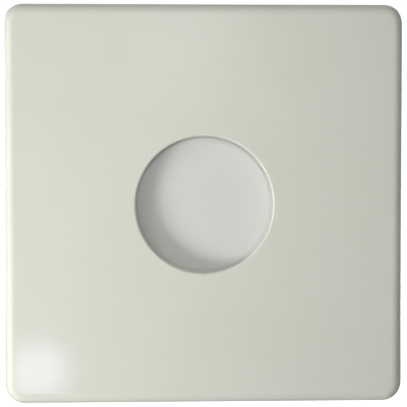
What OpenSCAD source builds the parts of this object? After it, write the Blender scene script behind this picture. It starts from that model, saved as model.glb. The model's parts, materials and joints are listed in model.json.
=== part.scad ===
// Concealed horizontal sidewall fire sprinkler with a square trim plate.
// +Z is up and -Y points out of the wall into the room. The origin is on the waterway axis,
// in the plane of the pipe fitting's face when the inlet thread is made up by hand.
// Every length is in millimetres.

/* [Trim plate] */
// side of the square plate
plate_w = 165; // [140:1:200]
// how far the plate's front stands off the wall
plate_d = 10; // [10:0.1:11]
// thickness of the pressed sheet
sheet_t = 1.2; // [0.8:0.1:1.4]
// corner radius seen from the front
corner_r = 8; // [6.5:0.5:14]
// radius of the edge that turns back to the wall
edge_r = 4.2; // [3:0.1:6]
// radius of the round opening
hole_r = 28.4; // [27.8:0.1:29.4]
// radius of the rolled edge round the opening
lip_r = 0.9; // [0.6:0.1:1.4]
// depth of the collar behind the opening's edge
lip_d = 1.6; // [1.6:0.1:3]

/* [Cover and retainer] */
// how far the cover lies behind the plate's front
recess = 8.4; // [8:0.1:8.6]
// thickness of the drop-away cover
cover_t = 0.9; // [0.7:0.1:1.1]
// slit between the cover's tapered edge and its seat
cover_gap = 0.08; // [0.06:0.01:0.3]
// thickness of the retainer's wall
ring_t = 1.2; // [1:0.1:1.6]
// radial clearance of the parts that turn or slide
fit_gap = 0.06; // [0.03:0.01:0.09]
// spring fingers at the back of the retainer
fingers = 8; // [4:1:12]

/* [Depths behind the wall] */
// distance from the wall face to the pipe fitting's face
set_back = 57; // [57:0.5:64]
// front face of the deflector
deflector_depth = 9; // [9:0.1:9.4]
// front face of the saddle
saddle_depth = 12; // [12:0.1:12.3]
// outlet face of the body
outlet_depth = 35; // [35:0.1:35.5]
// front face of the cup's back wall
cup_depth = 45; // [45:0.1:45.5]

/* [Sprinkler] */
// radius over the crests of the inlet thread
thread_r = 10.65; // [10.4:0.05:10.8]
// distance from one crest to the next
thread_pitch = 1.814; // [1.7:0.001:1.9]
// length of the thread beyond the fitting's face plane
thread_in = 8.1; // [8:0.1:9]
// radius of the waterway
bore_r = 6.2; // [6:0.1:6.6]
// wrench size across the body's flats
flats = 22; // [20:0.5:22.5]
// distance from the axis to a guide pin
pin_x = 15.5; // [15.4:0.1:17]
// radius of a guide pin
pin_r = 1.2; // [1:0.1:1.4]
// radius of the deflector
deflector_r = 13.5; // [12.5:0.1:14.5]
// radius of the glass bulb
bulb_r = 2.3; // [1.8:0.1:2.5]

/* [Output] */
// one node, or all

/* [Hidden] */
$fn = 96;

white_paint = [0.84, 0.85, 0.80];
cover_paint = [0.87, 0.88, 0.86];
brass = [0.80, 0.62, 0.30];
bronze = [0.70, 0.48, 0.26];
zinc = [0.72, 0.74, 0.76];
spring_steel = [0.55, 0.56, 0.58];

// Trim stations and radii
wall_y = -set_back;
front_y = wall_y - plate_d;
cover_y = front_y + recess;
landing_t = cover_t + 0.3;
cover_r = hole_r - 0.75;
seat_taper = 1 / 3;
landing_r = cover_r + cover_gap;
ring_ri = hole_r + 0.9;
ring_ro = ring_ri + ring_t;
ring_front = front_y + lip_d + 0.5;
ring_back = wall_y + 18;
finger_y = wall_y + 6;
finger_gap = 3;
hub_t = 1.6;
hub_flange_r = 44;
hub_shoulder_y = wall_y - 4.8;
hub_back_y = wall_y - 2.4;
hub_pocket_r = ring_ro + 2.6;
snap_y = hub_shoulder_y - 1.3;
snap_t = 1;
snap_depth = 0.6;
tab_r0 = 23.2;
tab_w = 5;
tab_t = 0.5;
tab_angles = [30, 150, 270];
bead_r = 1.6;
bead_at = 25.2;
leaf_w = 6;
leaf_t = 0.4;

// Cup and body stations and radii
cup_t = 1.2;
cup_ri = ring_ro + fit_gap;
cup_ro = cup_ri + cup_t;
cup_front = wall_y + 1;
cup_rim_r = cup_ro + 2.2;
cup_corner_r = 3;
cup_back = wall_y + cup_depth;
vent_r = 4.2;
vent_at = 23.5;
neck_r = 12;
shoulder_r = 14.5;
shoulder_t = 1.5;
outlet_y = wall_y + outlet_depth;
outlet_r = 8.5;
flats_y = outlet_y + 4;
shoulder_y = cup_back - shoulder_t;
nut_flats = 32;
nut_t = 3.4;
nut_face_r = nut_flats / 2 - 0.6;
nut_corner_r = nut_flats / 2 / cos(30);
nut_chamfer = (nut_corner_r - nut_face_r) * tan(30);
thread_y = -7;
crest_w = 0.4;
root_r = thread_r - 1.1;
crests = floor((thread_in - thread_y - 1.2) / thread_pitch);

// Frame stations
saddle_y = wall_y + saddle_depth;
saddle_t = 4;
housing_y = saddle_y + saddle_t;
housing_t = 2.4;
arm_y = housing_y + housing_t;
arm_z = 10.05;
arm_t = 3.5;
arm_w = 6;
tenon_w = 3;
tenon_t = 1.6;
screw_r = 2.7;
screw_y = saddle_y - 0.8;
bulb_y = saddle_y + 4.7;
cap_y = outlet_y - 1.6;
deflector_y = wall_y + deflector_depth;
deflector_t = 1.2;
vane_y = wall_y + 1.8;
vane_z = 8.2;
vane_w = 23;
bush_r = 2.7;
bush_back = arm_y + 0.6;
travel = 21.5;
clip_y = bush_back + travel + 0.3;
clip_t = 1.2;
pin_end = clip_y + clip_t + 0.8;

// Revolves a profile of [radius, y] points about the waterway axis.
module turned(points) {
  rotate([-90, 0, 0]) rotate_extrude() polygon(points);
}

// A round bar about an axis parallel to the waterway.
module bar(r, y0, y1, x = 0, z = 0) {
  translate([x, y0, z]) rotate([-90, 0, 0]) cylinder(r = r, h = y1 - y0);
}

// Gives a drawing in X and Z a thickness along Y.
module flat(y0, y1) {
  translate([0, y1, 0]) rotate([90, 0, 0]) linear_extrude(height = y1 - y0) children();
}

// A hexagonal prism along the waterway, with two of its flats facing +X and -X.
module hexagon(across, y0, y1) {
  translate([0, y0, 0]) rotate([-90, 0, 0]) rotate([0, 0, 30])
    cylinder(r = across / 2 / cos(30), h = y1 - y0, $fn = 6);
}

// Turns its child about the waterway from +X towards +Z.
module around(angle) {
  rotate([0, -angle, 0]) children();
}

// Half of a section through a shallow pan, rounded at its front edge.
module pan_edge(reach, r, depth) {
  square([reach - r, depth]);
  translate([0, r]) square([reach, depth - r]);
  translate([reach - r, r]) circle(r = r);
}

// A square block with round corners and a rounded front edge.
module pan_block(w, rc, re, y0, y1) {
  straight = w - 2 * rc;
  translate([0, y0, 0])
    for (turn = [0, 90, 180, 270])
      rotate([0, turn, 0]) {
        translate([0, 0, -straight / 2])
          linear_extrude(height = straight) intersection() {
            pan_edge(w / 2, re, y1 - y0);
            square([w / 2, y1 - y0]);
          }
        translate([straight / 2, 0, -straight / 2]) rotate([-90, 0, 0])
          rotate_extrude(angle = 90) intersection() {
            pan_edge(rc, re, y1 - y0);
            square([rc, y1 - y0]);
          }
      }
}

// Section through the rolled edge and collar of the opening, from the plate's front.
module lip_section() {
  difference() {
    union() {
      translate([hole_r, 0]) square([lip_r + 2, sheet_t]);
      translate([hole_r, 0]) square([sheet_t, lip_d]);
    }
    difference() {
      translate([hole_r - 1, -1]) square([lip_r + 1, lip_r + 1]);
      translate([hole_r + lip_r, lip_r]) circle(r = lip_r);
    }
  }
}

module trim_plate() {
  color(white_paint) {
    difference() {
      pan_block(plate_w, corner_r, edge_r, front_y, wall_y);
      pan_block(plate_w - 2 * sheet_t, corner_r - sheet_t, edge_r - sheet_t,
                front_y + sheet_t, wall_y + 1);
      bar(hole_r + lip_r + 1, front_y - 1, wall_y);
    }
    translate([0, front_y, 0]) rotate([-90, 0, 0]) rotate_extrude() lip_section();
  }
}

// The collar on the plate's back that turns on the retainer.
module plate_hub() {
  flange_y = front_y + sheet_t;
  color(zinc) turned([
    [hub_pocket_r, flange_y], [hub_flange_r, flange_y], [hub_flange_r, flange_y + hub_t],
    [hub_pocket_r + hub_t, flange_y + hub_t], [hub_pocket_r + hub_t, hub_back_y],
    [ring_ro + fit_gap, hub_back_y], [ring_ro + fit_gap, hub_shoulder_y],
    [hub_pocket_r, hub_shoulder_y]
  ]);
}

// The open ring in the retainer's groove that keeps the hub on.
module snap_ring() {
  groove_r = ring_ro - snap_depth;
  color(spring_steel) difference() {
    turned([
      [groove_r, snap_y], [ring_ro + 2, snap_y], [ring_ro + 2, snap_y + snap_t],
      [groove_r, snap_y + snap_t]
    ]);
    translate([-2, snap_y - 1, -ring_ro - 4]) cube([4, snap_t + 2, 8]);
  }
}

// The sleeve that carries the cover and the plate, with spring fingers that grip the cup.
module trim_retainer() {
  color(cover_paint) difference() {
    turned([
      [ring_ri, ring_front], [ring_ro, ring_front], [ring_ro, snap_y],
      [ring_ro - snap_depth, snap_y], [ring_ro - snap_depth, snap_y + snap_t],
      [ring_ro, snap_y + snap_t], [ring_ro, ring_back], [ring_ri, ring_back],
      [ring_ri, cover_y + landing_t], [landing_r - landing_t * seat_taper, cover_y + landing_t],
      [landing_r, cover_y], [ring_ri, cover_y]
    ]);
    for (i = [0 : fingers - 1])
      around((i + 0.5) * 360 / fingers)
        translate([ring_ri - 2, finger_y, -finger_gap / 2])
          cube([ring_t + 4, ring_back - finger_y + 1, finger_gap]);
  }
}

// The cover, with a tapered edge that centres it in the retainer's seat.
module cover_disc() {
  color(cover_paint) turned([
    [0, cover_y], [cover_r, cover_y], [cover_r - cover_t * seat_taper, cover_y + cover_t],
    [0, cover_y + cover_t]
  ]);
}

// Tongues behind the landing, to which the cover is soldered.
module solder_tabs() {
  color(brass) for (a = tab_angles)
    around(a)
      translate([tab_r0, cover_y + landing_t, -tab_w / 2])
        cube([ring_ri - 0.3 - tab_r0, tab_t, tab_w]);
}

module solder_beads() {
  color(zinc) for (a = tab_angles)
    around(a) bar(bead_r, cover_y + cover_t, cover_y + landing_t, bead_at);
}

// A bowed leaf at the top of the landing that throws the cover off when the solder melts.
module ejector_spring() {
  y0 = cover_y + landing_t;
  y1 = cover_y + cover_t;
  path = [[ring_ri - 0.25, y0], [27.2, y0], [24.2, y0 + 1.1], [20.2, y1], [18.2, y1 + 0.5]];
  far = [for (i = [len(path) - 1 : -1 : 0]) [path[i][0], path[i][1] + leaf_t]];
  color(spring_steel) around(90)
    translate([0, 0, -leaf_w / 2]) linear_extrude(height = leaf_w)
      polygon(concat(path, far));
}

// Half of a section through a drawn cup, rounded at its back corner.
module cup_half(reach, r, y0, y1) {
  translate([0, y0]) square([reach - r, y1 - y0]);
  translate([0, y0]) square([reach, y1 - y0 - r]);
  translate([reach - r, y1 - r]) circle(r = r);
}

module cup_section() {
  difference() {
    union() {
      cup_half(cup_ro, cup_corner_r, cup_front, cup_back + cup_t);
      translate([cup_ri, cup_front]) square([cup_rim_r - cup_ri, cup_t]);
    }
    cup_half(cup_ri, cup_corner_r - cup_t, cup_front - 1, cup_back);
    translate([0, cup_back - 1]) square([neck_r + fit_gap, cup_t + 2]);
  }
}

module support_cup() {
  color(zinc) difference() {
    rotate([-90, 0, 0]) rotate_extrude() cup_section();
    for (i = [0 : 5])
      around(i * 60)
        bar(vent_r, cup_back - 1, cup_back + cup_t + 1, vent_at);
  }
}

module cup_locknut() {
  y0 = cup_back + cup_t;
  y1 = y0 + nut_t;
  bore = neck_r + fit_gap;
  color(brass) difference() {
    intersection() {
      hexagon(nut_flats, y0, y1);
      turned([
        [0, y0], [nut_corner_r + 1, y0], [nut_corner_r + 1, y1 - nut_chamfer - tan(30)],
        [nut_face_r, y1], [0, y1]
      ]);
    }
    turned([
      [0, y0 - 1], [bore, y0 - 1], [bore, y1 - 0.6], [bore + 1.2, y1 + 0.6], [0, y1 + 0.6]
    ]);
  }
}

// Corners of the inlet thread's profile, drawn as rings of one radius.
function crest_points(i) = let (y = thread_y + 0.5 + i * thread_pitch) [
  [root_r, y], [thread_r, y + 0.55], [thread_r, y + 0.55 + crest_w],
  [root_r, y + 1.1 + crest_w]
];

module sprinkler_body() {
  color(brass) difference() {
    union() {
      turned(concat(
        [[0, outlet_y], [outlet_r, outlet_y], [outlet_r, shoulder_y],
         [shoulder_r, shoulder_y], [shoulder_r, cup_back], [neck_r, cup_back],
         [neck_r, thread_y - 0.6], [root_r, thread_y]],
        [for (i = [0 : crests - 1]) each crest_points(i)],
        [[root_r, thread_in - 0.4], [root_r - 0.4, thread_in], [0, thread_in]]
      ));
      hexagon(flats, flats_y, shoulder_y + 0.5);
      for (side = [-1, 1])
        translate([0, 0, side * arm_z]) {
          translate([-arm_w / 2, arm_y, -arm_t / 2])
            cube([arm_w, flats_y - arm_y + 1, arm_t]);
          translate([-tenon_w / 2, saddle_y - 0.3, -tenon_t / 2])
            cube([tenon_w, arm_y - saddle_y + 1, tenon_t]);
        }
    }
    turned([
      [0, outlet_y - 1], [bore_r, outlet_y - 1], [bore_r, thread_in - 2],
      [bore_r + 2, thread_in], [bore_r + 2, thread_in + 1], [0, thread_in + 1]
    ]);
  }
}

// Slots for the body's two tenons.
module tenon_slots() {
  for (side = [-1, 1])
    translate([0, side * arm_z]) square([tenon_w, tenon_t], center = true);
}

// The plate with two bushes in which the guide pins slide.
module guide_pin_housing() {
  color(bronze) difference() {
    union() {
      flat(housing_y, housing_y + housing_t) difference() {
        union() {
          circle(r = arm_z + arm_t / 2 + 0.8);
          square([2 * pin_x, 8], center = true);
        }
        circle(r = 4.2);
        tenon_slots();
      }
      for (side = [-1, 1]) bar(bush_r, housing_y - 0.6, bush_back, side * pin_x);
    }
    for (side = [-1, 1])
      bar(pin_r + fit_gap, housing_y - 2, bush_back + 1, side * pin_x);
  }
}

// The bridge across the frame arms that carries the compression screw.
module saddle() {
  color(brass) flat(saddle_y, saddle_y + saddle_t) difference() {
    union() {
      square([7, 2 * (arm_z + arm_t / 2 + 0.8)], center = true);
      circle(r = 5.2);
    }
    circle(r = screw_r);
    tenon_slots();
  }
}

module compression_screw() {
  end_y = bulb_y + 0.5;
  color(brass) difference() {
    bar(screw_r, screw_y, end_y);
    hexagon(3, screw_y - 1, screw_y + 2.2);
    turned([[0, bulb_y], [1.3, bulb_y], [1.9, end_y + 0.1], [0, end_y + 0.1]]);
  }
}

module glass_bulb() {
  color([0.85, 0.10, 0.08, 0.6]) turned([
    [0, bulb_y], [0.9, bulb_y], [1.2, bulb_y + 0.5], [bulb_r - 0.3, bulb_y + 2.4],
    [bulb_r, bulb_y + 4], [bulb_r, cap_y - 3.1], [bulb_r - 0.3, cap_y - 1.6],
    [1.3, cap_y - 0.3], [0.8, cap_y + 0.1], [0, cap_y + 0.1]
  ]);
}

// The cap that closes the outlet, with a cup for the bulb's foot.
module seal_cap() {
  color(bronze) turned([
    [0, cap_y + 0.1], [1.5, cap_y + 0.1], [1.9, cap_y - 1], [2.8, cap_y - 1],
    [3.2, cap_y], [outlet_r - 0.7, cap_y], [outlet_r - 0.7, cap_y + 1],
    [bore_r - 0.3, cap_y + 1], [bore_r - 0.3, outlet_y + 1.6], [bore_r - 0.9, outlet_y + 2],
    [0, outlet_y + 2]
  ]);
}

// The coned disc spring that seals the cap on the outlet.
module spring_seal() {
  y0 = cap_y + 1;
  outer_r = outlet_r - 0.4;
  color(spring_steel) turned([
    [bore_r + 0.1, y0], [outer_r, outlet_y - 0.4], [outer_r, outlet_y], [bore_r + 0.1, y0 + 0.4]
  ]);
}

// A round toothed plate with two ears for the pins and a vane over its top edge.
module deflector() {
  top = vane_z + deflector_t;
  color(brass) {
    flat(deflector_y, deflector_y + deflector_t) difference() {
      intersection() {
        circle(r = deflector_r);
        translate([-deflector_r, -deflector_r])
          square([2 * deflector_r, deflector_r + top]);
      }
      for (a = [-150 : 30 : -30]) rotate(a) {
        translate([deflector_r - 5.5, -0.8]) square([6, 1.6]);
        translate([deflector_r - 5.5, 0]) circle(r = 0.8);
      }
    }
    for (side = [-1, 1])
      flat(deflector_y, deflector_y + deflector_t) difference() {
        union() {
          translate([side * (pin_x + 8) / 2, 0])
            square([pin_x - 8, 6.4], center = true);
          translate([side * pin_x, 0]) circle(r = 3.2);
        }
        translate([side * pin_x, 0]) circle(r = pin_r);
      }
    translate([0, 0, vane_z]) linear_extrude(height = deflector_t) polygon([
      [-vane_w / 2 + 2.5, vane_y], [vane_w / 2 - 2.5, vane_y], [vane_w / 2, vane_y + 3],
      [9, deflector_y + deflector_t], [-9, deflector_y + deflector_t],
      [-vane_w / 2, vane_y + 3]
    ]);
  }
}

module guide_pins() {
  color(spring_steel) for (side = [-1, 1]) {
    bar(pin_r, deflector_y - 0.5, pin_end, side * pin_x);
    bar(pin_r + 0.9, deflector_y - 0.8, deflector_y, side * pin_x);
  }
}

// The open clips near the pins' ends that stop the deflector's travel.
module pin_clips() {
  color(spring_steel) for (side = [-1, 1])
    translate([side * pin_x, 0, 0]) difference() {
      bar(pin_r + 1.1, clip_y, clip_y + clip_t);
      bar(pin_r, clip_y - 1, clip_y + clip_t + 1);
      translate([-0.6, clip_y - 1, 0]) cube([1.2, clip_t + 2, 4]);
    }
}

trim_plate();
plate_hub();
snap_ring();
trim_retainer();
cover_disc();
solder_tabs();
solder_beads();
ejector_spring();
support_cup();
cup_locknut();
sprinkler_body();
guide_pin_housing();
saddle();
compression_screw();
glass_bulb();
seal_cap();
spring_seal();
deflector();
guide_pins();
pin_clips();
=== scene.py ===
"""Looks for the concealed sidewall sprinkler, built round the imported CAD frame."""
import json
import math

import bmesh
import bpy
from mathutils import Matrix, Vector


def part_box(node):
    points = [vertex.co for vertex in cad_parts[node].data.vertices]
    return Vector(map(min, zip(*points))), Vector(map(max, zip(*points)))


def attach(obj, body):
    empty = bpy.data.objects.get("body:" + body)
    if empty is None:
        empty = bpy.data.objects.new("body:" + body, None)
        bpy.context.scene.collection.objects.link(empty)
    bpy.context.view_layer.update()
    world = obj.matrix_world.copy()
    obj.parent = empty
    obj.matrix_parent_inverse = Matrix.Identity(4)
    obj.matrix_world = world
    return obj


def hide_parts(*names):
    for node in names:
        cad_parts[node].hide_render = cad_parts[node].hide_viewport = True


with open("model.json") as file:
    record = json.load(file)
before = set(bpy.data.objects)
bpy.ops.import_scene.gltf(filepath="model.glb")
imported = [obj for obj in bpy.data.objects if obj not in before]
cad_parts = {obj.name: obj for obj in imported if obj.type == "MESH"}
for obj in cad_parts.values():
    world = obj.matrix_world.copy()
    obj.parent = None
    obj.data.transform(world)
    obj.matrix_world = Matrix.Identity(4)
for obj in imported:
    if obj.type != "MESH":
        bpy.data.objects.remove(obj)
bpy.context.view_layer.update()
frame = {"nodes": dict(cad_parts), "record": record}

MM = 0.001
# The middle of the plate's front face.
FRONT = Vector((0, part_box("trim_plate")[0].y, 0))

# ---------------------------------------------------------------- material graphs


class Graph:
    """One procedural material, built on the Principled shader and the object's own coordinates."""

    def __init__(self, name):
        self.mat = bpy.data.materials.new(name)
        self.mat.use_nodes = True
        self.tree = self.mat.node_tree
        self.shader = self.tree.nodes["Principled BSDF"]
        self.place = self.node("ShaderNodeTexCoord").outputs["Object"]

    def node(self, kind, **settings):
        made = self.tree.nodes.new(kind)
        for key, value in settings.items():
            setattr(made, key, value)
        return made

    def plug(self, socket, value):
        if isinstance(value, bpy.types.NodeSocket):
            self.tree.links.new(value, socket)
        else:
            socket.default_value = value

    def stretched(self, x, y, z):
        """The object's coordinates, multiplied along each axis."""
        made = self.node("ShaderNodeVectorMath", operation="MULTIPLY")
        self.plug(made.inputs[0], self.place)
        made.inputs[1].default_value = (x, y, z)
        return made.outputs[0]

    def noise(self, scale, detail=2.0, rough=0.5, place=None):
        made = self.node("ShaderNodeTexNoise")
        self.plug(made.inputs["Vector"], place or self.place)
        made.inputs["Scale"].default_value = scale
        made.inputs["Detail"].default_value = detail
        made.inputs["Roughness"].default_value = rough
        return made.outputs["Fac"]

    def cells(self, scale):
        """Distance to the nearest of many scattered points."""
        made = self.node("ShaderNodeTexVoronoi", feature="F1")
        self.plug(made.inputs["Vector"], self.place)
        made.inputs["Scale"].default_value = scale
        return made.outputs["Distance"]

    def rings(self, scale, distortion=0.0):
        """Machining lines round the waterway axis."""
        made = self.node("ShaderNodeTexWave", wave_type="RINGS", rings_direction="Y")
        self.plug(made.inputs["Vector"], self.place)
        made.inputs["Scale"].default_value = scale
        made.inputs["Distortion"].default_value = distortion
        made.inputs["Detail"].default_value = 1.0
        return made.outputs["Fac"]

    def remap(self, value, low, high, to_low=0.0, to_high=1.0):
        """Eases a value from one range to another."""
        made = self.node("ShaderNodeMapRange", interpolation_type="SMOOTHSTEP")
        self.plug(made.inputs["Value"], value)
        for key, number in zip(("From Min", "From Max", "To Min", "To Max"),
                               (low, high, to_low, to_high)):
            made.inputs[key].default_value = number
        return made.outputs["Result"]

    def math(self, operation, a, b=0.0):
        made = self.node("ShaderNodeMath", operation=operation)
        self.plug(made.inputs[0], a)
        self.plug(made.inputs[1], b)
        return made.outputs[0]

    def blend(self, factor, a, b):
        made = self.node("ShaderNodeMix", data_type="RGBA")
        self.plug(made.inputs["Factor"], factor)
        for socket, value in ((made.inputs["A"], a), (made.inputs["B"], b)):
            self.plug(socket, value if isinstance(value, bpy.types.NodeSocket) else (*value, 1.0))
        return next(o for o in made.outputs if o.type == "RGBA")

    def edges(self, radius):
        """1 on sharp edges, falling to 0 within the radius."""
        rounded = self.node("ShaderNodeBevel", samples=4)
        rounded.inputs["Radius"].default_value = radius
        flat = self.node("ShaderNodeNewGeometry")
        dot = self.node("ShaderNodeVectorMath", operation="DOT_PRODUCT")
        self.plug(dot.inputs[0], rounded.outputs[0])
        self.plug(dot.inputs[1], flat.outputs["Normal"])
        return self.remap(dot.outputs["Value"], 0.999, 0.86)

    def relief(self, *layers):
        """Stacks bump layers, each a height and its depth in metres, and drives the normal."""
        normal = None
        for height, depth in layers:
            made = self.node("ShaderNodeBump")
            made.inputs["Strength"].default_value = 1.0
            made.inputs["Distance"].default_value = depth
            self.plug(made.inputs["Height"], height)
            if normal:
                self.plug(made.inputs["Normal"], normal)
            normal = made.outputs["Normal"]
        self.plug(self.shader.inputs["Normal"], normal)

    def set(self, **values):
        """Sets or links the Principled sockets named with underscores."""
        for key, value in values.items():
            name = key.replace("_", " ")
            socket = next(s for s in self.shader.inputs if s.name.lower() == name.lower())
            is_colour = socket.type == "RGBA" and isinstance(value, tuple)
            self.plug(socket, (*value, 1.0) if is_colour else value)
        return self.mat


def enamel(name, colour, tint, roughness=0.36, coat=1.0, peel=5e-6, under=0.2):
    """Stoved gloss paint. peel is the depth of its orange peel, and under is the gloss below the coat."""
    g = Graph(name)
    cloud = g.noise(34, 3.0)
    fine = g.noise(420, 4.0, 0.6)
    body = g.blend(g.remap(cloud, 0.32, 0.68), colour, tint)
    darker = tuple(c * 0.965 for c in colour)
    body = g.blend(g.remap(fine, 0.45, 0.75, 0.0, 0.5), body, darker)
    worn = g.math("MULTIPLY", g.edges(0.5 * MM), g.remap(g.noise(160, 3.0), 0.45, 0.7))
    body = g.blend(g.math("MULTIPLY", worn, 0.35), body, tuple(c * 0.8 for c in colour))
    speck = g.remap(g.cells(230), 0.05, 0.02, 0.0, 0.35)
    body = g.blend(speck, body, tuple(c * 0.72 for c in colour))
    g.relief((g.noise(26, 1.0), 2.2e-5), (g.noise(760, 2.0), peel), (fine, 1.2e-6))
    return g.set(
        base_color=body, metallic=0.0, coat_weight=coat, coat_roughness=0.09, ior=1.5,
        specular_ior_level=under,
        roughness=g.remap(g.noise(90, 3.0), 0.3, 0.7, roughness - 0.04, roughness + 0.06))


def metal(name, colour, stain, roughness=0.3, grain=None, lines=0.0, blotch=38, depth=4e-6):
    """Bare or plated metal: clouded colour, grain, turning lines, dull pits, and sharp edges lightened as
    a painted highlight.
    """
    g = Graph(name)
    cloud = g.remap(g.noise(blotch, 4.0, 0.6), 0.38, 0.72)
    grain_at = g.stretched(*grain) if grain else None
    streak = g.noise(1.0 if grain else 900, 3.0, 0.6, grain_at)
    body = g.blend(g.math("MULTIPLY", cloud, 0.7), colour, stain)
    body = g.blend(g.remap(streak, 0.35, 0.75, 0.0, 0.35), body, tuple(c * 0.72 for c in colour))
    # Painted highlight: the colour is lighter on sharp edges, standing in for light caught there.
    painted_edge_highlight = g.edges(0.25 * MM)
    body = g.blend(g.math("MULTIPLY", painted_edge_highlight, 0.6), body, tuple(min(1, c * 1.15) for c in colour))
    pits = g.remap(g.cells(620), 0.12, 0.04)
    layers = [(g.noise(55, 2.0), 1.5e-5), (streak, depth), (pits, -3e-6)]
    if lines:
        layers.append((g.rings(lines, 0.4), 2.5e-6))
    g.relief(*layers)
    wear = g.remap(g.noise(120, 4.0, 0.65), 0.3, 0.72, roughness - 0.07, roughness + 0.13)
    return g.set(base_color=body, metallic=1.0,
                 roughness=g.math("ADD", wear, g.math("MULTIPLY", pits, 0.15)))


PLATE_WHITE = (0.690, 0.700, 0.615)
PLATE_TINT = (0.672, 0.686, 0.598)
COVER_WHITE = (0.690, 0.692, 0.660)
COVER_TINT = (0.676, 0.679, 0.645)
# Painted shade: the retainer's white enamel is greyed so that the recess behind the plate's opening reads
# darker.
RETAINER_GREY_PAINTED_SHADE = (0.620, 0.625, 0.590)
RETAINER_TINT_PAINTED_SHADE = (0.600, 0.605, 0.570)

MATERIALS = {
    "plate_paint": enamel("plate_enamel", PLATE_WHITE, PLATE_TINT),
    "cover_paint": enamel("cover_enamel", COVER_WHITE, COVER_TINT, roughness=0.42, coat=0.3, under=0.5),
    # The retainer's greyed white enamel, a painted shade for the recess.
    "retainer_paint": enamel("retainer_enamel_painted_shade", RETAINER_GREY_PAINTED_SHADE, RETAINER_TINT_PAINTED_SHADE, roughness=0.45, coat=0.2,
                             under=0.5),
    "zinc": metal("zinc_plate", (0.62, 0.645, 0.66), (0.53, 0.55, 0.52), 0.30,
                  grain=(900, 60, 900), blotch=46),
    "spring_steel": metal("spring_steel", (0.40, 0.41, 0.43), (0.27, 0.25, 0.23), 0.26,
                          grain=(300, 1600, 300)),
    "brass": metal("brass_forging", (0.76, 0.56, 0.24), (0.58, 0.40, 0.16), 0.27, lines=900,
                   blotch=70),
    "bronze": metal("bronze", (0.64, 0.42, 0.22), (0.42, 0.26, 0.13), 0.32, lines=1100),
    "tab_brass": metal("tab_brass", (0.80, 0.63, 0.30), (0.66, 0.49, 0.22), 0.30,
                       grain=(200, 900, 1600)),
    "solder": metal("solder", (0.52, 0.53, 0.54), (0.36, 0.36, 0.36), 0.46, blotch=600,
                    depth=3e-5),
}


def clear_glass():
    """Thin borosilicate shell with faint drawn lines."""
    g = Graph("bulb_glass")
    drawn = g.noise(1.0, 2.0, 0.5, g.stretched(900, 40, 900))
    g.relief((drawn, 1.5e-6))
    return g.set(base_color=g.blend(drawn, (0.97, 0.985, 0.98), (0.93, 0.96, 0.95)),
                 transmission_weight=1.0, ior=1.47,
                 roughness=g.remap(g.noise(300), 0.3, 0.7, 0.0, 0.04))


def red_liquid():
    g = Graph("bulb_liquid")
    cloud = g.noise(260, 2.0)
    return g.set(base_color=g.blend(cloud, (0.86, 0.045, 0.035), (0.70, 0.020, 0.020)),
                 transmission_weight=0.75, ior=1.36,
                 roughness=g.remap(cloud, 0.3, 0.7, 0.03, 0.10))


MATERIALS["bulb_glass"] = clear_glass()
LIQUID = red_liquid()

SLOT_OF = {part["node"]: part["material_slot"] for part in frame["record"]["subparts"]}
BODY_OF = {node: body for body, nodes in frame["record"]["behaviour"]["bodies"].items()
           for node in nodes}

for node_name, slot_name in SLOT_OF.items():
    for slot in frame["nodes"][node_name].material_slots:
        slot.material = MATERIALS[slot_name]

# Edge break in mm of each copy that stands for a CAD node.
EDGE_BREAK = {"trim_plate": 0.22, "plate_hub": 0.2, "trim_retainer": 0.12, "support_cup": 0.2,
              "cup_locknut": 0.15, "guide_pin_housing": 0.2, "saddle": 0.25, "deflector": 0.12,
              "compression_screw": 0.12, "solder_tabs": 0.06, "seal_cap": 0.12, "snap_ring": 0.12,
              "pin_clips": 0.08, "guide_pins": 0.15}
# In metres, and in degrees.
JOIN_WITHIN, SHARP_ANGLE = 2e-6, 50


def edged(node_name, width):
    """Stands for a CAD node, as a copy of it with its sharp edges broken. The node stays as packed."""
    piece = bpy.data.objects.new(node_name + "_edged", frame["nodes"][node_name].data.copy())
    bpy.context.scene.collection.objects.link(piece)
    joined = piece.modifiers.new("joined", "WELD")
    joined.merge_threshold = JOIN_WITHIN
    rounding = piece.modifiers.new("edge_break", "BEVEL")
    rounding.width = width * MM
    rounding.segments = 2
    rounding.limit_method = "ANGLE"
    rounding.angle_limit = math.radians(SHARP_ANGLE)
    rounding.harden_normals = True
    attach(piece, BODY_OF[node_name])
    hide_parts(node_name)


for node_name, width in EDGE_BREAK.items():
    edged(node_name, width)

# ---------------------------------------------------------------- pieces made here

# Sizes from here to the stage are in millimetres.
ON_AXIS = 1e-6


def smooth(t):
    """Eases from 0 to 1."""
    t = min(1.0, max(0.0, t))
    return t * t * (3 - 2 * t)


def skin(mesh, low, high):
    """Joins two rings of as many points by a band of faces."""
    for i in range(len(low)):
        j = (i + 1) % len(low)
        mesh.faces.new((low[i], low[j], high[j], high[i]))


def finished(name, mesh, material, smooth_angle=None):
    """Turns a bmesh into an object with one material, smooth except at edges past the angle."""
    bmesh.ops.recalc_face_normals(mesh, faces=mesh.faces)
    data = bpy.data.meshes.new(name)
    mesh.to_mesh(data)
    mesh.free()
    data.shade_smooth()
    if smooth_angle:
        data.set_sharp_from_angle(angle=math.radians(smooth_angle))
    data.materials.append(material)
    made = bpy.data.objects.new(name, data)
    bpy.context.scene.collection.objects.link(made)
    return made


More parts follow.
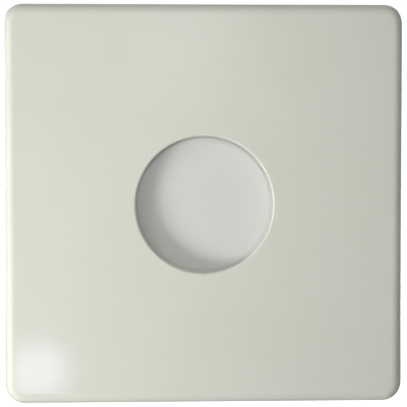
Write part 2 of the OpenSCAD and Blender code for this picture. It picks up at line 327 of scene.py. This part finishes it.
def turn(mesh, rows, segments, closed=False):
    """Skins rings about the waterway axis. A row is (y, radius), or (y, function of the angle)."""
    rings = []
    for y, radius in rows:
        if not callable(radius) and radius < ON_AXIS:
            rings.append([mesh.verts.new((0, y * MM, 0))])
            continue
        ring = []
        for i in range(segments):
            a = 2 * math.pi * i / segments
            r = (radius(a) if callable(radius) else radius) * MM
            ring.append(mesh.verts.new((r * math.cos(a), y * MM, r * math.sin(a))))
        rings.append(ring)
    pairs = list(zip(rings, rings[1:])) + ([(rings[-1], rings[0])] if closed else [])
    for low, high in pairs:
        for i in range(segments):
            j = (i + 1) % segments
            loop = [low[i % len(low)], low[j % len(low)], high[j % len(high)], high[i % len(high)]]
            corners = list(dict.fromkeys(loop))
            if len(corners) > 2:
                mesh.faces.new(corners)


def lathe(name, profile, material, segments=64):
    """A closed solid from [radius, y] points, in millimetres."""
    mesh = bmesh.new()
    turn(mesh, [(y, radius) for radius, y in profile], segments)
    return finished(name, mesh, material)


TIP_R, TIP_DOME, TIP_L, BULB_NECK_L = 0.95, 0.7, 0.5, 3.6


def bulb_profile(inset, points=40):
    """A drawn glass bulb: a straight barrel that necks down to a rounded tip at each end."""
    lo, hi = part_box("glass_bulb")
    y0, y1, radius = lo.y / MM + inset, hi.y / MM - inset, hi.x / MM - inset
    tip = TIP_R - inset * 0.6
    out = []
    for i in range(points + 1):
        t = i / points
        y = y0 + (y1 - y0) * t
        reach = min(t, 1 - t) * (y1 - y0)
        dome = math.sqrt(max(0.0, 1 - max(0.0, 1 - reach / TIP_DOME) ** 2))
        swell = smooth((reach - TIP_L) / BULB_NECK_L)
        out.append((dome * (tip + (radius - tip) * swell), y))
    out[0], out[-1] = (0, y0), (0, y1)
    return out


GLASS_T = 0.38
bulb = lathe("bulb_shell", bulb_profile(0.0), MATERIALS["bulb_glass"])
liquid = lathe("bulb_liquid", bulb_profile(GLASS_T), LIQUID)
for piece in (bulb, liquid):
    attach(piece, "sprinkler")
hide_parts("glass_bulb")

# The brass body, with the real tapered helix that the CAD draws as rings.
PITCH, RIDGE, RUNOUT, THREAD_STEPS, BODY_SIDES = 1.814, 1.12, 1.6, 118, 120
# Shares of half a pitch that are flat root and sloped flank, and drops at the thread's two ends.
ROOT_FLAT, FLANK, RUNOUT_DROP, END_DROP = 0.12, 0.72, 0.1, 0.35
BORE_R, OUTLET_R, FLATS_R, SHOULDER_R, NECK_R = 6.2, 8.5, 11.0, 14.5, 12.0
OUTLET_Y, FLATS_Y, SHOULDER_Y, SEAT_Y = -22.0, -18.0, -13.5, -12.0
THREAD_Y0, THREAD_Y1 = -7.6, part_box("sprinkler_body")[1].y / MM
CREST_R, TAPER = 10.80, 1 / 32
HEX_CORNER_R, HEX_FLATS = 12.5, 6
ARM_Z, ARM_T, ARM_W, ARM_Y = 10.05, 3.5, 6.0, -38.6
TENON_W, TENON_T, TENON_Y = 3.0, 1.6, -45.3
# Steps along an arm, the shares of its length where its root widens and where each end is eased,
# and steps round a corner.
ARM_STEPS, ARM_ROOT, ARM_END, CORNER_STEPS = 24, 0.72, 0.03, 4


def hex_radius(limit):
    """Distance to a wrench flat, no further than the limit, with two flats facing sideways."""
    def radius(a):
        off = (math.degrees(a) + 180 / HEX_FLATS) % (360 / HEX_FLATS) - 180 / HEX_FLATS
        return min(FLATS_R / math.cos(math.radians(off)), limit)
    return radius


def thread_radius(y):
    """Crest, flank and root of a right-hand single-start tapered thread at one station."""
    def radius(a):
        phase = ((y - THREAD_Y0) / PITCH + a / (2 * math.pi)) % 1.0
        height = 1 - abs(2 * phase - 1)
        ridge = min(1.0, max(0.0, (height - ROOT_FLAT) / FLANK))
        crest = CREST_R - (y - THREAD_Y0) * TAPER
        runout = smooth((y - THREAD_Y0) / RUNOUT)
        root = crest - RIDGE
        r = root + RIDGE * ridge + (1 - runout) * (crest - RUNOUT_DROP - root - RIDGE * ridge)
        return min(r, root - END_DROP + (THREAD_Y1 - y))
    return radius


def add_arm(mesh, side, width, thick, y0, y1, flare):
    """A bar along the axis. A flare widens its root, and such a bar has softer corners and ends."""
    rings = []
    for i in range(ARM_STEPS + 1):
        t = i / ARM_STEPS
        grow = flare * smooth((t - ARM_ROOT) / (1 - ARM_ROOT))
        half_w, half_t = width / 2 + grow * 0.8, thick / 2 + grow * 0.35
        shrink = 0.3 * (1 - min(1, t / ARM_END, (1 - t) / ARM_END)) if flare else 0.0
        corner = 0.45 if flare else 0.15
        ring = []
        for cx, cz, start in ((1, 1, 0), (-1, 1, 90), (-1, -1, 180), (1, -1, 270)):
            for k in range(CORNER_STEPS + 1):
                a = math.radians(start + k * 90 / CORNER_STEPS)
                x = cx * (half_w - corner - shrink) + corner * math.cos(a)
                z = cz * (half_t - corner - shrink) + corner * math.sin(a)
                ring.append(mesh.verts.new((x * MM, (y0 + (y1 - y0) * t) * MM, (side * ARM_Z + z) * MM)))
        rings.append(ring)
    for low, high in zip(rings, rings[1:]):
        skin(mesh, low, high)
    mesh.faces.new(rings[0])
    mesh.faces.new(rings[-1])


def make_body():
    """The waterway, outlet, wrench flats, shoulder, neck and thread in one turned skin, and two arms."""
    mesh = bmesh.new()
    rows = [(OUTLET_Y + 0.25, BORE_R), (OUTLET_Y, BORE_R + 0.25), (OUTLET_Y, OUTLET_R - 0.25),
            (OUTLET_Y + 0.25, OUTLET_R), (FLATS_Y - 0.7, OUTLET_R), (FLATS_Y - 0.2, OUTLET_R + 0.35),
            (FLATS_Y, OUTLET_R + 0.9), (FLATS_Y, FLATS_R - 0.1), (FLATS_Y + 0.9, hex_radius(HEX_CORNER_R)),
            (SHOULDER_Y - 0.5, hex_radius(HEX_CORNER_R)),
            (SHOULDER_Y - 0.15, hex_radius(HEX_CORNER_R - 0.15)),
            (SHOULDER_Y, hex_radius(HEX_CORNER_R - 0.3)), (SHOULDER_Y, SHOULDER_R - 0.25),
            (SHOULDER_Y + 0.25, SHOULDER_R), (SEAT_Y - 0.2, SHOULDER_R), (SEAT_Y, SHOULDER_R - 0.2),
            (SEAT_Y, NECK_R), (THREAD_Y0 - 1.0, NECK_R), (THREAD_Y0 - 0.3, CREST_R + 0.35)]
    rows += [(y, thread_radius(y)) for y in
             (THREAD_Y0 + (THREAD_Y1 - THREAD_Y0) * i / THREAD_STEPS for i in range(THREAD_STEPS + 1))]
    rows += [(THREAD_Y1, BORE_R + 2.05), (THREAD_Y1 - 0.1, BORE_R + 1.9), (THREAD_Y1 - 2.0, BORE_R)]
    turn(mesh, rows, BODY_SIDES, closed=True)
    for side in (-1, 1):
        add_arm(mesh, side, ARM_W, ARM_T, ARM_Y, FLATS_Y + 1.5, flare=1.0)
        add_arm(mesh, side, TENON_W, TENON_T, TENON_Y, ARM_Y + 0.5, flare=0.0)
    return finished("body_casting", mesh, MATERIALS["brass"], 32)


body = make_body()
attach(body, "sprinkler")
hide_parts("sprinkler_body")

# Weld dimples that hold the hub's flange to the back of the plate.
WELDS, WELD_AT, WELD_R, WELD_SIDES = 8, 40.0, 1.9, 28
HUB_T = 1.6
FLANGE_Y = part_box("plate_hub")[0].y / MM + HUB_T
# Each ring of a dimple: its share of the radius, and its height over the flange.
WELD_RINGS = ((1, -0.3), (1, 0.02), (0.9, 0.16), (0.7, 0.28), (0.5, 0.35), (0.34, 0.20), (0.15, 0.12))


def make_welds():
    """Small round mounds with a dip in the middle, set round the hub's flange."""
    mesh = bmesh.new()
    for i in range(WELDS):
        a = 2 * math.pi * (i + 0.5) / WELDS
        cx, cz = WELD_AT * math.cos(a), WELD_AT * math.sin(a)
        rings = []
        for share, lift in WELD_RINGS:
            ring = []
            for k in range(WELD_SIDES):
                turned = 2 * math.pi * k / WELD_SIDES
                x, z = cx + WELD_R * share * math.cos(turned), cz + WELD_R * share * math.sin(turned)
                ring.append(mesh.verts.new((x * MM, (FLANGE_Y + lift) * MM, z * MM)))
            rings.append(ring)
        for low, high in zip(rings, rings[1:]):
            skin(mesh, low, high)
        mesh.faces.new(rings[0])
        mesh.faces.new(rings[-1])
    return finished("hub_welds", mesh, MATERIALS["zinc"], 50)


welds = make_welds()
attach(welds, "plate")

# ---------------------------------------------------------------- stage, light, camera

FLOOR_Z, FLOOR_HALF = -0.25, 6.0
# Each row has a sign for x, y and z, and the glow that comes from that side of each axis.
ROOM_GLOW = (((-1, -1, 1), (0.52, 0.09, 0.27)), ((1, 1, -1), (0.0, 0.18, 0.0)))


def look(thing, target):
    """Points a lamp or the camera at a place."""
    thing.rotation_euler = (target - thing.location).to_track_quat("-Z", "Y").to_euler()


def panel(name, place, target, width, height, watts, colour=(1, 1, 1), seen_by="all",
          spread=180):
    """A soft elliptical lamp that no camera sees, lighting only diffuse or glossy paths if asked."""
    data = bpy.data.lights.new(name, "AREA")
    data.shape = "ELLIPSE"
    data.size, data.size_y = width, height
    data.energy, data.color = watts, colour
    data.spread = math.radians(spread)
    lamp = bpy.data.objects.new(name, data)
    bpy.context.scene.collection.objects.link(lamp)
    lamp.location = place
    lamp.visible_camera = False
    lamp.visible_glossy = seen_by != "diffuse"
    lamp.visible_diffuse = seen_by != "glossy"
    look(lamp, target)


def make_floor():
    """White to the eye, so that it meets the background unseen; as a light it is plain pale paint."""
    mesh = bmesh.new()
    bmesh.ops.create_grid(mesh, x_segments=8, y_segments=8, size=FLOOR_HALF)
    data = bpy.data.meshes.new("floor")
    mesh.to_mesh(data)
    mesh.free()
    floor = bpy.data.objects.new("floor", data)
    bpy.context.scene.collection.objects.link(floor)
    floor.location.z = FLOOR_Z
    g = Graph("floor_white")
    tone = g.blend(g.remap(g.noise(3.0), 0.3, 0.7), (0.65, 0.65, 0.645), (0.63, 0.63, 0.625))
    path = g.node("ShaderNodeLightPath")
    g.set(base_color=tone, roughness=0.9,
          emission_color=(1.0, 1.0, 1.0),
          emission_strength=path.outputs["Is Camera Ray"])
    data.materials.append(g.mat)


def make_world():
    """White to the eye; as a light it is a soft glow, stronger from some sides of the room."""
    world = bpy.data.worlds.new("studio")
    bpy.context.scene.world = world
    world.use_nodes = True
    tree = world.node_tree
    tree.nodes.clear()
    link = tree.links.new
    coords = tree.nodes.new("ShaderNodeTexCoord")
    total = None
    for flip, glow in ROOM_GLOW:
        turned, kept, lobe = (tree.nodes.new("ShaderNodeVectorMath") for _ in range(3))
        turned.operation, kept.operation, lobe.operation = "MULTIPLY", "MAXIMUM", "DOT_PRODUCT"
        turned.inputs[1].default_value, kept.inputs[1].default_value = flip, (0, 0, 0)
        lobe.inputs[1].default_value = glow
        link(coords.outputs["Generated"], turned.inputs[0])
        link(turned.outputs[0], kept.inputs[0])
        link(kept.outputs[0], lobe.inputs[0])
        if total is None:
            total = lobe.outputs["Value"]
            continue
        both = tree.nodes.new("ShaderNodeMath")
        link(total, both.inputs[0])
        link(lobe.outputs["Value"], both.inputs[1])
        total = both.outputs[0]
    path = tree.nodes.new("ShaderNodeLightPath")
    room, white = tree.nodes.new("ShaderNodeBackground"), tree.nodes.new("ShaderNodeBackground")
    mix, out = tree.nodes.new("ShaderNodeMixShader"), tree.nodes.new("ShaderNodeOutputWorld")
    link(total, room.inputs["Strength"])
    for shade in (room, white):
        shade.inputs["Color"].default_value = (1.0, 1.0, 1.0, 1.0)
    link(path.outputs["Is Camera Ray"], mix.inputs["Fac"])
    link(room.outputs[0], mix.inputs[1])
    link(white.outputs[0], mix.inputs[2])
    link(mix.outputs[0], out.inputs["Surface"])


# Each lamp's bearing in degrees (0 in front, negative to the left), height angle in degrees,
# distance, width and height in metres, watts, and the paths that it lights.
SOFT_LAMPS = {
    "key": (-56, -23, 0.5, 0.20, 0.16, 1.72, "diffuse"),
    "key_upper": (-42, 32, 0.5, 0.15, 0.15, 0.26, "diffuse"),
    "fill_front": (-14, 14, 1.1, 0.33, 0.33, 0.14, "diffuse"),
    "upper": (0, 17, 0.26, 0.08, 0.08, 0.165, "diffuse"),
    "sheen": (-66, -4, 0.7, 0.75, 0.60, 1.7, "glossy"),
}
for lamp_name, (bearing, height, distance, wide, tall, watts, paths) in SOFT_LAMPS.items():
    side_on, up = math.radians(bearing), math.radians(height)
    offset = Vector((math.sin(side_on) * math.cos(up), -math.cos(side_on) * math.cos(up),
                     math.sin(up))) * distance
    panel(lamp_name, FRONT + offset, FRONT, wide, tall, watts, seen_by=paths)
# From behind, level and narrow, so that they don't reach the floor in front of the plate.
BACK_LAMPS = {"back_left": (-0.62, 0.30), "back_right": (0.62, 0.50)}
BACK_DEPTH, BACK_HEIGHT, BACK_SIZE, BACK_SPREAD = 0.70, 0.10, 0.62, 70
for lamp_name, (across, watts) in BACK_LAMPS.items():
    panel(lamp_name, FRONT + Vector((across, BACK_DEPTH, BACK_HEIGHT)), FRONT, BACK_SIZE, BACK_SIZE,
          watts, spread=BACK_SPREAD)
# Its reflection is the small bright patch near the plate's lower left corner.
GLINT_PLACE, GLINT_COLOUR = Vector((-0.109, -0.64, -0.171)), (0.77, 0.69, 1.0)
panel("glint", FRONT + GLINT_PLACE, FRONT, 0.054, 0.044, 0.038, GLINT_COLOUR)

make_floor()
make_world()

# Degrees and metres. The seen width is how much of the plate's front fits across the picture.
CAMERA_AZIMUTH, CAMERA_ELEVATION, CAMERA_DISTANCE, SEEN_WIDTH = -2.6, 3.0, 0.64, 0.16784
SENSOR_WIDTH_MM = 36.0
AIM = Vector((-0.00046, 0, 0.00051))

camera_data = bpy.data.cameras.new("camera")
camera_data.sensor_width = SENSOR_WIDTH_MM
camera_data.lens = SENSOR_WIDTH_MM * CAMERA_DISTANCE / SEEN_WIDTH
camera_data.clip_start, camera_data.clip_end = 0.01, 30.0
camera = bpy.data.objects.new("camera", camera_data)
bpy.context.scene.collection.objects.link(camera)
azimuth, elevation = math.radians(CAMERA_AZIMUTH), math.radians(CAMERA_ELEVATION)
back = Vector((math.sin(azimuth) * math.cos(elevation), -math.cos(azimuth) * math.cos(elevation),
               math.sin(elevation)))
camera.location = FRONT + back * CAMERA_DISTANCE
look(camera, FRONT + AIM)
bpy.context.scene.camera = camera
bpy.context.scene.view_settings.view_transform = "Standard"
